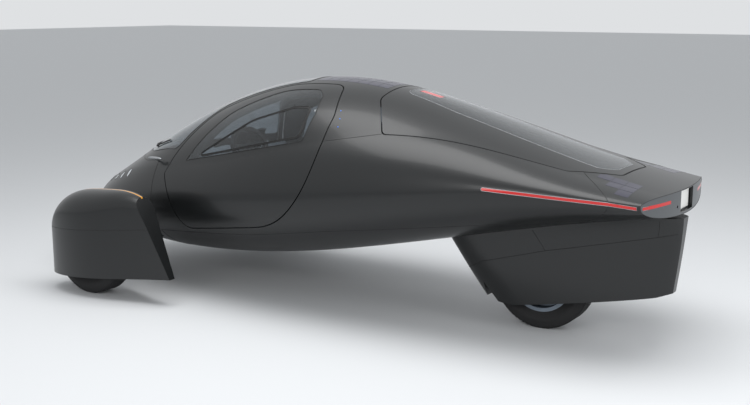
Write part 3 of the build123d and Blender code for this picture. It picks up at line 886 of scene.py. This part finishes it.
class SolarDeck:
    """Solar cells laid on the roof strip and the tail.

    Args:
        fields: where the cells lie.
    """

    CELL = 0.078              # pitch of the cells, metres
    GAP = 0.0035
    LIFT = 0.0006
    STEPS = 4
    STEEPEST = 0.4            # least rise of the normal where a cell still lies

    def __init__(self, fields: list[CellField]) -> None:
        self.fields = fields

    def build(self) -> None:
        """Lays every field."""
        for part in self.fields:
            points, faces = [], []
            caster = Caster(part.node)
            columns = int((part.x_range[1] - part.x_range[0]) / self.CELL)
            rows = int((part.y_range[1] - part.y_range[0]) / self.CELL)
            for column in range(columns):
                for row in range(rows):
                    self.add_cell(caster, part.x_range[0] + column * self.CELL,
                                  part.y_range[0] + row * self.CELL, points, faces)
            piece(part.name, mesh_of(part.name, points, faces=faces), CELL, BODY_OF_NODE[part.node])

    def add_cell(self, caster: Caster, x: float, y: float, points: list, faces: list) -> None:
        """Adds one thin cell that follows the surface.

        Args:
            caster: thrower at the panel.
            x: rear edge.
            y: right edge.
            points: points so far.
            faces: faces so far.
        """
        side = self.CELL - self.GAP
        count = self.STEPS + 1
        steps = [side * i / self.STEPS for i in range(count)]
        hits = [caster.hit(Vector((x + ahead, y + across, HIGH)), DOWN)
                for ahead in steps for across in steps]
        if any(hit is None or hit[1].z < self.STEEPEST for hit in hits):
            return
        start, half = len(points), count * count
        points += [place + normal * self.LIFT for place, normal in hits]
        points += [place - normal * self.LIFT for place, normal in hits]
        for i in range(self.STEPS):
            for j in range(self.STEPS):
                a = start + i * count + j
                top = (a, a + count, a + count + 1, a + 1)
                faces.append(top)
                faces.append(tuple(half + v for v in reversed(top)))
        last = self.STEPS
        border = ([(i, 0) for i in range(last)] + [(last, j) for j in range(last)]
                  + [(last - i, last) for i in range(last)] + [(0, last - j) for j in range(last)])
        ring = [start + i * count + j for i, j in border]
        for a, b in zip(ring, ring[1:] + ring[:1]):
            faces.append((b, a, half + a, half + b))


@dataclass(frozen=True)
class WheelSizes:
    """Sizes of the tread and the wheel bolts, millimetres."""

    tyre_radius: float = 310.0
    tread_rows: int = 5
    tread_pitch: float = 25.0
    tread_count: int = 72
    tread_height: float = 1.4
    tread_fill: float = 0.8
    bolt_circle: float = 44.0
    bolt_radius: float = 7.0
    bolt_count: int = 5
    bolt_sides: int = 6
    bolt_height: float = 12.0
    bolt_offset: float = 42.0


class Wheel:
    """One wheel with tread blocks and bolts.

    Args:
        name: ending of its node names.
        sizes: sizes of its details.
    """

    def __init__(self, name: str, sizes: WheelSizes) -> None:
        self.name = name
        self.sizes = sizes
        self.tyre = f"tyre_{name}"
        self.rim = f"rim_{name}"
        low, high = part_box(self.tyre)
        self.centre = (low + high) / 2

    def build(self) -> None:
        """Dresses tyre and rim."""
        dressed(self.tyre, TYRE)
        dressed(self.rim, RIM)

    def place(self, mesh: bpy.types.Mesh, offset: float) -> bpy.types.Mesh:
        """Turns a ring made round Z to the wheel's axis.

        Args:
            mesh: the ring.
            offset: way along the axle, metres.
        Returns:
            The same mesh, in the frame.
        """
        turn = Matrix.Rotation(math.radians(90), 4, "X")
        mesh.transform(Matrix.Translation(self.centre + Vector((0, offset, 0))) @ turn)
        return mesh

    def dress(self) -> None:
        """Adds tread blocks and bolts."""
        sizes = self.sizes
        body = BODY_OF_NODE[self.tyre]
        work = bmesh.new()
        length = 2 * math.pi * sizes.tyre_radius / sizes.tread_count * sizes.tread_fill
        bmesh.ops.create_cube(work, size=1.0, matrix=Matrix.Diagonal(
            (sizes.tread_height * MM, length * MM, sizes.tread_pitch * sizes.tread_fill * MM, 1)))
        block = taken_from(work, "tread_block")
        pitch = (0.0, 0.0, sizes.tread_pitch * MM)
        tread = RING.apply(block, Count=sizes.tread_count, Radius=sizes.tyre_radius * MM,
                           Rows=sizes.tread_rows, Pitch=pitch, Material=TYRE.material())
        half = sizes.tread_pitch * (sizes.tread_rows - 1) / 2 * MM
        piece(f"tread_{self.name}", self.place(tread, half), TYRE, body)
        work = bmesh.new()
        bmesh.ops.create_cone(work, cap_ends=True, segments=sizes.bolt_sides, radius1=sizes.bolt_radius * MM,
                              radius2=sizes.bolt_radius * MM, depth=sizes.bolt_height * MM)
        bolt = taken_from(work, "bolt")
        bolts = RING.apply(bolt, Count=sizes.bolt_count, Radius=sizes.bolt_circle * MM, Rows=1,
                           Pitch=pitch, Material=STEEL.material())
        piece(f"bolts_{self.name}", self.place(bolts, sizes.bolt_offset * MM), STEEL, body)


class RunningGear:
    """Fairings, spat, arms and wheels.

    Args:
        wheel_sizes: sizes of the wheels' details.
    """

    PAINTED = ("fairing_left", "fairing_right", "spat", "spat_cover_left", "spat_cover_right")
    METAL = ("front_subframe", "wishbones_left", "wishbones_right", "knuckle_left", "knuckle_right",
             "swing_arm")
    WHEELS = ("front_left", "front_right", "rear")
    SPAT_LINES = (((-0.875, 0.311), (-1.037, 0.396), (-1.43, 0.509), (-1.767, 0.585), (-2.16, 0.670)),
                  ((-1.336, 0.659), (-1.435, 0.512)), ((-2.075, 0.740), (-2.064, 0.655)))
    FAIRING_LINE = ((1.80, 0.43), (0.95, 0.495))
    SEAM_RADIUS_MM = 1.8

    def __init__(self, wheel_sizes: WheelSizes) -> None:
        self.wheels = [Wheel(name, wheel_sizes) for name in self.WHEELS]

    def build(self) -> None:
        """Dresses the pieces."""
        for node in self.PAINTED:
            dressed(node, PAINT)
        for node in self.METAL:
            dressed(node, STEEL)
        for side in Side:
            dressed(f"fairing_strip_{side.word}", AMBER)
        for wheel in self.wheels:
            wheel.build()

    def dress(self) -> None:
        """Adds tread, bolts and seam lines."""
        for wheel in self.wheels:
            wheel.dress()
        for side in Side:
            inward = Vector((0, -side.value, 0))
            spat = Caster("spat", f"spat_cover_{side.word}")
            for index, line in enumerate(self.SPAT_LINES):
                edges = spat.line([Vector((x, side.value * OUTSIDE, z)) for x, z in line], inward)
                bead(f"spat_seam_{index}_{side.word}", edges, self.SEAM_RADIUS_MM, SEAL, CHASSIS)
            fairing = f"fairing_{side.word}"
            line = [Vector((x, side.value * OUTSIDE, z)) for x, z in self.FAIRING_LINE]
            edges = Caster(fairing).line(line, inward)
            bead(f"fairing_seam_{side.word}", edges, self.SEAM_RADIUS_MM, SEAL, BODY_OF_NODE[fairing])


@dataclass(frozen=True)
class SeatSizes:
    """Sizes of the padding, metres, with the cloth's pressure and its count of frames."""

    voxel: float = 0.006
    pressure: float = 4.0
    frames: int = 20
    most: float = 0.014
    held_below: float = 0.475


class Cabin:
    """Floor, dashboard, steering wheel and padded seats.

    Args:
        seat: sizes of the padding.
    """

    HARD = (("cabin_floor", CARPET), ("luggage_deck", CARPET), ("dashboard", DASH), ("screen", SCREEN),
            ("steering_wheel", SEAL), ("battery", CASE))

    def __init__(self, seat: SeatSizes) -> None:
        self.seat = seat

    def build(self) -> None:
        """Dresses the hard pieces."""
        for node, finish in self.HARD:
            dressed(node, finish)

    def dress(self) -> None:
        """Pads the left seat and mirrors it for the right."""
        mesh = self.padded_mesh()
        other = mesh.copy()
        other.transform(Matrix.Diagonal((1, -1, 1, 1)))
        other.flip_normals()
        for side, made in ((Side.LEFT, mesh), (Side.RIGHT, other)):
            node = f"seat_{side.word}"
            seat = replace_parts(piece(f"{node}_padded", made, CLOTH, BODY_OF_NODE[node]), node)

    def padded_mesh(self) -> bpy.types.Mesh:
        """Cover of the seat, blown out by its foam.

        Returns:
            The mesh of the left seat.
        """
        scene = bpy.context.scene
        cover = bpy.data.objects.new("seat_cover", merged("seat_left"))
        scene.collection.objects.link(cover)
        remesh = cover.modifiers.new("voxels", "REMESH")
        remesh.mode = "VOXEL"
        remesh.voxel_size = self.seat.voxel
        graph = bpy.context.evaluated_depsgraph_get()
        cover.data = bpy.data.meshes.new_from_object(cover.evaluated_get(graph))
        cover.modifiers.clear()
        rest = np.array([vertex.co for vertex in cover.data.vertices])
        held = cover.vertex_groups.new(name="held")
        held.add([int(i) for i in np.flatnonzero(rest[:, 2] < self.seat.held_below)], 1.0, "REPLACE")
        cloth = cover.modifiers.new("cover", "CLOTH")
        cloth.settings.use_pressure = True
        cloth.settings.uniform_pressure_force = self.seat.pressure
        cloth.settings.vertex_group_mass = held.name
        cloth.settings.effector_weights.gravity = 0.0
        cloth.point_cache.frame_start = 1
        cloth.point_cache.frame_end = self.seat.frames
        for number in range(1, self.seat.frames + 1):
            scene.frame_set(number)
        graph = bpy.context.evaluated_depsgraph_get()
        made = bpy.data.meshes.new_from_object(cover.evaluated_get(graph))
        moved = np.array([vertex.co for vertex in made.vertices]) - rest
        length = np.maximum(np.linalg.norm(moved, axis=1, keepdims=True), TINY)
        placed = rest + moved * np.minimum(1.0, self.seat.most / length)
        made.vertices.foreach_set("co", placed.astype(np.float32).ravel())
        made.shade_smooth()
        bpy.data.objects.remove(cover)
        scene.frame_set(1)
        return made


@dataclass(frozen=True)
class StudioSizes:
    """Camera and stage in metres and degrees, the lens and the sensor in millimetres."""

    eye: tuple[float, float, float] = (-3.857, 5.663, 1.921)
    heading: float = 33.3
    pitch: float = 10.8
    lens: float = 50.4
    sensor: float = 36.0
    floor_half: float = 60.0


@dataclass(frozen=True)
class Lamp:
    """A soft box over the stage."""

    name: str
    place: tuple[float, float, float]
    target: tuple[float, float, float]
    size: tuple[float, float]
    power: float


class Studio:
    """Floor, soft light and the camera of the photo.

    Args:
        sizes: camera and stage.
    """

    LAMPS = (
        Lamp("overhead box", (-0.5, 0.5, 5.0), (-0.3, 0, 0.6), (6.0, 3.0), 210.0),
        Lamp("side box", (-2.0, 5.5, 2.8), (-0.8, 0, 0.9), (5.0, 1.6), 85.0),
        Lamp("tail box", (-6.5, 0.5, 2.4), (-2.0, 0, 0.8), (1.6, 2.4), 85.0),
    )
    SKY_LIGHT = 0.85
    SKY_SEEN_COLOUR = "#dfe1e3"
    SKY_LIGHT_COLOUR = "#d4d6d8"

    def __init__(self, sizes: StudioSizes) -> None:
        self.sizes = sizes

    def build(self) -> None:
        """Sets the stage, the lamps, the world and the camera."""
        half = self.sizes.floor_half
        mesh = mesh_of("floor", [(-half, -half, 0), (half, -half, 0), (half, half, 0), (-half, half, 0)],
                       faces=[(0, 1, 2, 3)])
        floor = bpy.data.objects.new("floor", mesh)
        bpy.context.scene.collection.objects.link(floor)
        mesh.materials.append(PAPER.material())
        for lamp in self.LAMPS:
            self.add_lamp(lamp)
        self.set_world()
        self.set_camera()
        bpy.context.scene.view_settings.view_transform = "Standard"

    def add_lamp(self, lamp: Lamp) -> None:
        """Hangs one soft box.

        Args:
            lamp: the lamp.
        """
        data = bpy.data.lights.new(lamp.name, "AREA")
        data.shape = "RECTANGLE"
        data.size, data.size_y = lamp.size
        data.energy = lamp.power
        made = bpy.data.objects.new(lamp.name, data)
        bpy.context.scene.collection.objects.link(made)
        made.location = lamp.place
        way = Vector(lamp.target) - Vector(lamp.place)
        made.rotation_euler = way.to_track_quat("-Z", "Y").to_euler()

    def set_world(self) -> None:
        """Gives a pale even sky."""
        world = bpy.data.worlds.new("pale sky")
        world.use_nodes = True
        tree = world.node_tree
        seen = tree.nodes["Background"]
        seen.inputs["Color"].default_value = linear(self.SKY_SEEN_COLOUR)
        lighting = add_node(tree, "ShaderNodeBackground", Color=linear(self.SKY_LIGHT_COLOUR),
                            Strength=self.SKY_LIGHT)
        path = add_node(tree, "ShaderNodeLightPath")
        either = add_node(tree, "ShaderNodeMath")
        both = add_node(tree, "ShaderNodeMath")
        either.operation = both.operation = "MAXIMUM"
        mix = add_node(tree, "ShaderNodeMixShader")
        tree.links.new(path.outputs["Is Camera Ray"], either.inputs[0])
        tree.links.new(path.outputs["Is Glossy Ray"], either.inputs[1])
        tree.links.new(either.outputs[0], both.inputs[0])
        tree.links.new(path.outputs["Is Transmission Ray"], both.inputs[1])
        tree.links.new(both.outputs[0], mix.inputs[0])
        tree.links.new(lighting.outputs[0], mix.inputs[1])
        tree.links.new(seen.outputs[0], mix.inputs[2])
        tree.links.new(mix.outputs[0], tree.nodes["World Output"].inputs["Surface"])
        bpy.context.scene.world = world

    def set_camera(self) -> None:
        """Places the camera as the photo was taken."""
        sizes = self.sizes
        heading, pitch = math.radians(sizes.heading), math.radians(sizes.pitch)
        level = Vector((math.sin(heading), -math.cos(heading), 0)) * math.cos(pitch)
        way = level - Vector((0, 0, math.sin(pitch)))
        data = bpy.data.cameras.new("camera")
        data.lens = sizes.lens
        data.sensor_width = sizes.sensor
        made = bpy.data.objects.new("camera", data)
        bpy.context.scene.collection.objects.link(made)
        made.location = sizes.eye
        made.rotation_euler = way.to_track_quat("-Z", "Y").to_euler()
        bpy.context.scene.camera = made


def main() -> None:
    """Builds the car's looks in order."""
    logging.basicConfig(level=logging.INFO, format="%(message)s")
    cells = [CellField("roof_cells", "roof_frame", (-0.33, 0.22), (-0.16, 0.16)),
             CellField("tail_cells_left", "tail_cap", (-2.02, -1.76), (0.26, 0.50)),
             CellField("tail_cells_right", "tail_cap", (-2.02, -1.76), (-0.50, -0.26))]
    shell = Shell(ShellSizes())
    gear = RunningGear(WheelSizes())
    cabin = Cabin(SeatSizes())
    for part in (shell, gear, cabin):
        log.info("building %s", type(part).__name__)
        part.build()
        part.dress()
    SolarDeck(cells).build()
    Studio(StudioSizes()).build()


if __name__ == "__main__":
    main()
